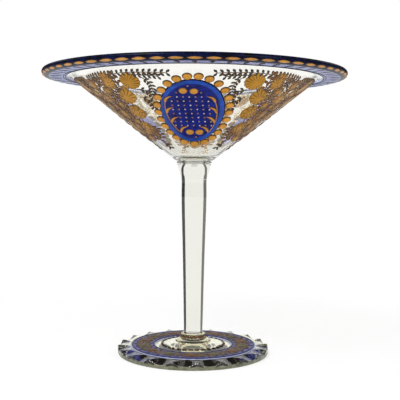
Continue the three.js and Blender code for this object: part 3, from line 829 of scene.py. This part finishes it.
# %% Stems and their leaves
# stems of one side, as (degrees from the middle line, distance up the slope)
GARLANDS = [[(20, 113.6), (28, 114.4), (35, 114.0), (42, 113.4), (49.5, 112.4)]]
SPRIGS = [
    [(31, 112.5), (36, 111.4), (41, 110.4), (45, 109.2)],
    [(36.5, 109), (38.6, 104.5), (39.3, 99.5), (38.4, 94.5)],
    [(30.5, 98), (33.5, 96.4), (36.2, 92.6), (36.8, 87.6)],
    [(29, 90.4), (31.8, 87.6), (33.6, 83), (33.8, 78)],
    [(15, 41), (17.6, 38.6), (20.6, 34)],
]
BARE_STEMS = [
    [(0, 44), (6, 50), (11.5, 57.8), (14.5, 66.6), (16.5, 75.8), (19.2, 84.6), (21.3, 92.4), (25.4, 99.8),
     (28.5, 106.8)],
]
INNER_STEMS = [
    [(0, 112), (8, 113), (15, 113.8), (22, 113.6)],
    [(9, 103), (9.6, 108), (9.4, 112)],
    [(0, 44), (0, 60), (0, 78), (0, 95), (0, 110)],
    [(0, 48), (3.8, 55), (5.6, 62), (8.6, 70), (9.2, 78), (8.3, 84), (8, 91), (9.4, 98), (13.5, 107)],
    [(2.4, 66), (4.6, 74), (4.4, 82), (3.4, 87.4)],
    [(10.6, 87), (12.4, 93), (15, 98.4), (20.6, 102)],
    [(20.6, 102), (20.8, 108), (19.8, 113.6)],
    [(6, 113.4), (5.4, 107.4), (7, 101.6)],
    [(12.6, 80.6), (13.6, 86.6), (14.6, 92)],
    [(5.6, 50), (10, 50.4), (15.4, 53), (18.4, 58)],
    [(4, 44), (10, 47), (16, 50), (21, 56)],
    [(9, 44), (14, 44), (18.4, 46.6), (21, 50)],
]
STATIONS = 60


def leafy(azimuth, stems, pitch, long, wide, height):
    """Stems on both sides of a middle line, and pairs of leaves along them at even steps."""
    lines, leaves = [], []
    for side in (-1, 1):
        for stem in stems:
            points = np.array(stem, float)
            points[:, 0] = np.radians(points[:, 0]) * side
            path = smooth_path(points, STATIONS)
            taper = np.minimum(1, 6 * np.sin(np.linspace(0, np.pi, STATIONS)) + 0.05)
            lines.append(ribbons(cone_seat, azimuth, path, 0.32 * taper, 0.4 + 0 * taper, -0.02, 6))
            step = np.diff(path, axis=0)
            run = np.column_stack([step[:, 0] * path[:-1, 1] * math.cos(RISE), step[:, 1]])
            length = np.concatenate([[0], np.cumsum(np.hypot(*run.T))])
            count = int(length[-1] / pitch)
            at = (np.arange(count) + 0.7) * length[-1] / count
            where = np.column_stack([np.interp(at, length, path[:, 0]), np.interp(at, length, path[:, 1])])
            heading = np.interp(at, length[:-1], np.unwrap(np.arctan2(run[:, 1], run[:, 0])))
            for flank in (-1, 1):
                lean = heading + flank * 0.85
                along = where[:, 1] + (long + 0.3) * np.sin(lean)
                turn = where[:, 0] + (long + 0.3) * np.cos(lean) / (along * math.cos(RISE))
                leaves.append(place_rows(azimuth + turn, along, lean, long, wide, height))
    return lines, mounds(cone_seat, np.vstack(leaves), lens, LOW_LEAF, -0.02, 8)


def spray(number, azimuth):
    """Makes one spray's pieces round its middle line."""
    here = f"spray_{number}_"
    grids = []
    mirrored = [(-turn, *size, 180 - lean, heart) for turn, *size, lean, heart in HEADS]
    for turn, along, long, wide, petals, rings, lean, heart in MIDDLES + HEADS + mirrored:
        one = place_rows(azimuth + math.radians(turn), along, math.radians(lean), long, wide, FLOWER_H)
        grids.append(flowers(cone_seat, one, petals, rings, 0.02, heart=heart))
    piece(here + "flowers", grids, flower_gold, [f"gilt_spray_{number}"])
    outer = (("garland", GARLANDS, 3.9, 2.1, 1.15), ("sprig", SPRIGS, 3.1, 1.9, 1.05))
    for part, stems, pitch, long, wide in outer:
        lines, leaves = leafy(azimuth, stems, pitch, long, wide, 0.5)
        piece(f"{here}{part}_stems", lines, dark_gold)
        piece(f"{here}{part}_leaves", [leaves], leaf_brown)
    lines, leaves = leafy(azimuth, INNER_STEMS, 3.2, 2.6, 1.3, 0.55)
    bare = leafy(azimuth, BARE_STEMS, 50, 1, 1, 0.5)[0]
    piece(here + "stems", lines + bare, dark_gold)
    piece(here + "leaves", [leaves], dark_gold)


for k in range(3):
    spray(k + 1, math.radians(-30 + PAINT_TURN + 120 * k))

# %% [markdown]
# ## The foot's ornament
#
# A violet-blue ring lies on the flat top inside the hollows, edged with navy lines, with a garland of
# brown and olive gold flowers and leaves on it. Round the knop runs a rope of thirty-two short gold
# dashes. Through the glass, the ring's underside is seen dark on its inner part and blue further out.

# %% Foot ring
RING_IN, RING_OUT, BARE_UNDER = 30.5, 48.2, 43.2
profile = flat_ring(RING_IN, RING_OUT, FOOT_T - SUNK, FOOT_T + COAT)
profile = np.insert(profile, 1, [(BARE_UNDER, FOOT_T - SUNK)], 0)
# the underside's inner part counts as not proud, so the glass shows it dark from beneath
coat = with_share(turned(profile, 288), np.array([0, 0, 1, 1, 1, 0])[:, None])
piece("foot_band_coat", [coat], violet_blue, ["foot_band_enamel"], 30)
rings = [turned(flat_ring(r, r + 1.1, FOOT_T + 0.5, FOOT_T + 0.95), 288) for r in (RING_IN, RING_OUT - 1.1)]
piece("foot_band_lines", rings, navy, (), 30)
rings = [turned(flat_ring(r, r + 0.8, FOOT_T - SUNK, FOOT_T + 0.3), 288) for r in (RING_IN - 0.8, RING_OUT)]
piece("foot_band_pale_edges", rings, pale_blue, (), 30)

# %% Garland on the ring
MOTIFS, GARLAND_R, SWING, LEAF_REACH = 14, 39.2, 4.2, 1.9
turns = np.radians(-92 + 360 * np.arange(MOTIFS) / MOTIFS)
tones = (("brown", 0, foot_gold), ("olive", 1, olive_gold))
for part, first, finish in tones:
    heads = [flowers(foot_seat, [[a, 39.0, 0, 4.4, 4.2, 1.5]], 7, 2, 0.6, 42) for a in turns[first::2]]
    piece(f"foot_{part}_flowers", heads, finish)
t = np.linspace(0, 2 * np.pi, 361)
vines = []
leaves = {0: [], 1: []}
for swing in (-SWING, SWING):
    wavy = np.column_stack([t, GARLAND_R + swing * np.sin(MOTIFS * (t - turns[0]))])
    vines.append(ribbons(foot_seat, 0.0, wavy, 0.45 + 0 * t, 1.15 + 0 * t, 0.6, 6))
    for place, step in enumerate(np.linspace(0.08, 0.92, 8)):
        turn = turns + step * 2 * np.pi / MOTIFS
        r = GARLAND_R + swing * math.sin(2 * np.pi * step)
        heading = math.atan2(swing * MOTIFS * math.cos(2 * np.pi * step), GARLAND_R)
        for flank in (-1, 1):
            lean = heading + flank * 0.9
            leaves[(place + (flank > 0)) % 2].append(place_rows(
                turn + LEAF_REACH * math.cos(lean) / GARLAND_R, r + LEAF_REACH * math.sin(lean), lean,
                2.1, 1.05, 1.25))
piece("foot_vines", vines, foot_gold)
for part, own, finish in tones:
    grid = mounds(foot_seat, np.vstack(leaves[own]), lens, LOW_LEAF, 0.6, 8)
    piece(f"foot_{part}_leaves", [grid], finish)

# %% Gold rope round the knop
ROPE_DASHES, ROPE_R = 32, 24.3
rope_turns = np.radians(np.arange(ROPE_DASHES) * 360 / ROPE_DASHES - 4)
dashes = place_rows(rope_turns, ROPE_R, 0.2, 2.0, 1.0, 0.7)
piece("foot_gold_rope", [mounds(foot_seat, dashes, oval, BEAD, -0.02, 16)], rope_gold)

# %% [markdown]
# ## Floor, light and camera
#
# A white table and a white surround, as for a catalogue picture, with two large soft lamps. Near the vessel
# the paper is partly matt and takes a soft shadow. Overhead, and all round but behind the vessel, the room
# is dark. Only mirrored light meets that, and it gives the gilding its depth. Two narrow dark flags stand far
# behind the vessel. They are seen only through the glass, where they draw the dark lines down the stem.

# %% Floor
FLOOR_HALF, FLOOR_DROP, WHITE = 30, 0.0001, (1, 1, 1, 1)


def seen_share(tree):
    """1 for a ray from the camera, a mirror or glass, and 0 for one that only gathers light."""
    path = add_node(tree, "ShaderNodeLightPath")
    seen = path.outputs["Is Camera Ray"]
    for other in ("Is Glossy Ray", "Is Transmission Ray"):
        seen = maths(tree, "MAXIMUM", seen, path.outputs[other])
    return seen


floor_mesh = bpy.data.meshes.new("floor")
corners = [(x * FLOOR_HALF, y * FLOOR_HALF, -FLOOR_DROP) for x, y in ((-1, -1), (1, -1), (1, 1), (-1, 1))]
floor_mesh.from_pydata(corners, [], [(0, 1, 2, 3)])
floor = add_object("floor", floor_mesh)
paper, tree, out = new_finish("white_paper")
seen = seen_share(tree)
place = add_node(tree, "ShaderNodeTexCoord").outputs["Object"]
away = add_node(tree, "ShaderNodeVectorMath", {0: place}, operation="LENGTH")
white_share = add_node(tree, "ShaderNodeMapRange", {
    "Value": away.outputs["Value"], "From Min": 0.06, "From Max": 0.3, "To Min": 0.7, "To Max": 1.0})
part = maths(tree, "MULTIPLY", seen, white_share.outputs[0])
matt = add_node(tree, "ShaderNodeBsdfDiffuse", {"Color": linear("#fdfdfd")})
white = add_node(tree, "ShaderNodeEmission", {"Color": WHITE, "Strength": 1.0})
mixed = add_node(tree, "ShaderNodeMixShader", {0: part, 1: matt.outputs[0], 2: white.outputs[0]})
tree.links.new(mixed.outputs[0], out.inputs["Surface"])
floor_mesh.materials.append(paper)
print("floor: white paper")

# %% World and lamps
world = bpy.data.worlds.new("white_surround")
bpy.context.scene.world = world
world.use_nodes = True
tree = world.node_tree
tree.nodes.clear()
out = tree.nodes.new("ShaderNodeOutputWorld")
seen = seen_share(tree)
soft = add_node(tree, "ShaderNodeBackground", {"Color": WHITE, "Strength": 0.5})
white = add_node(tree, "ShaderNodeBackground", {"Color": WHITE, "Strength": 1.0})
mixed = add_node(tree, "ShaderNodeMixShader", {0: seen, 1: soft.outputs[0], 2: white.outputs[0]})
tree.links.new(mixed.outputs[0], out.inputs["Surface"])


def lamp(name, place, aim, size, power):
    """A square soft lamp at place, facing aim."""
    light = bpy.data.lights.new(name, "AREA")
    light.size, light.energy = size, power
    made = add_object(name, light)
    made.location = place
    made.rotation_euler = (Vector(aim) - made.location).to_track_quat("-Z", "Y").to_euler()
    print(f"{name} lamp: {power} W")


lamp("key", (-0.7, -0.8, 1.1), (0, 0, 0.1), 0.5, 15.0)
lamp("fill", (0.9, -0.9, 0.5), (0, 0, 0.15), 0.6, 5.0)

# %% The dark room and the flags
ROOM_R, SCREEN_H, CEILING_R, CEILING_H = 2.5, 1.2, 3.4, 2.5
BACKDROP_HALF, FLAG_W, TABLE_R, OFF_FLOOR = 22, 9, 0.08, 0.002
SCREEN_POINTS = 25


def stage_screen(name, points, faces, colour, met_by):
    """A dark screen that belongs to the studio. Only one kind of ray meets it: glossy or transmission."""
    mesh = bpy.data.meshes.new(name)
    mesh.from_pydata(points.tolist(), [], faces)
    made = add_object(name, mesh)
    cloth, tree, out = new_finish(name + "_cloth")
    dark = add_node(tree, "ShaderNodeEmission", {"Color": linear(colour), "Strength": 1.0})
    tree.links.new(dark.outputs[0], out.inputs["Surface"])
    mesh.materials.append(cloth)
    for kind in ("camera", "diffuse", "glossy", "transmission", "volume_scatter", "shadow"):
        setattr(made, f"visible_{kind}", kind == met_by)
    print(f"{name}: met by {met_by} rays")


def dark_screen(name, start, end, colour, met_by):
    """A wall between two angles in degrees. One that is seen through glass has a dark strip of floor before
    it, from TABLE_R outwards."""
    turn = np.radians(np.linspace(start, end, SCREEN_POINTS))
    strip = [(TABLE_R, OFF_FLOOR)] if met_by == "transmission" else []
    reach, height = np.array([*strip, (ROOM_R, OFF_FLOOR), (ROOM_R, SCREEN_H)]).T[:, :, None]
    points = about_axis(reach, turn, height).reshape(-1, 3)
    faces = quads(np.arange(len(points)).reshape(-1, SCREEN_POINTS))
    stage_screen(name, points, faces.tolist(), colour, met_by)


right_edge, left_edge = 90 - BACKDROP_HALF, 90 + BACKDROP_HALF
dark_screen("flag_right", right_edge - FLAG_W, right_edge, "#141414", "transmission")
dark_screen("flag_left", left_edge, left_edge + FLAG_W, "#6a6a66", "transmission")
dark_screen("dark_room", -250, 70, "#505050", "glossy")
disc = about_axis(CEILING_R, np.radians(np.arange(0, 360, 15)), CEILING_H)
stage_screen("dark_ceiling", disc, [list(range(len(disc)))], "#404040", "glossy")

# %% Camera
EYE, LENS = (0, -0.6084, 0.14715), 70.07
TURN, DIP, LEAN = -0.443, 2.578, 0.4
view = bpy.data.cameras.new("camera")
view.lens = LENS
view.sensor_width = 36.0
view.clip_start, view.clip_end = 0.01, 100.0
camera = add_object("camera", view)
turned_to = Matrix.Rotation(math.radians(TURN), 4, "Z")
dipped = Matrix.Rotation(math.radians(90 - DIP), 4, "X")
leaned = Matrix.Rotation(math.radians(LEAN), 4, "Z")
camera.matrix_world = Matrix.Translation(EYE) @ turned_to @ dipped @ leaned
bpy.context.scene.camera = camera
bpy.context.scene.view_settings.view_transform = "Standard"
print(f"camera {-EYE[1]:.2f} m in front of the axis, lens {LENS} mm")

# %% Print the fixed frame's box
print("cad box", [tuple(round(x * 1000, 2) for x in c) for c in cad_box])
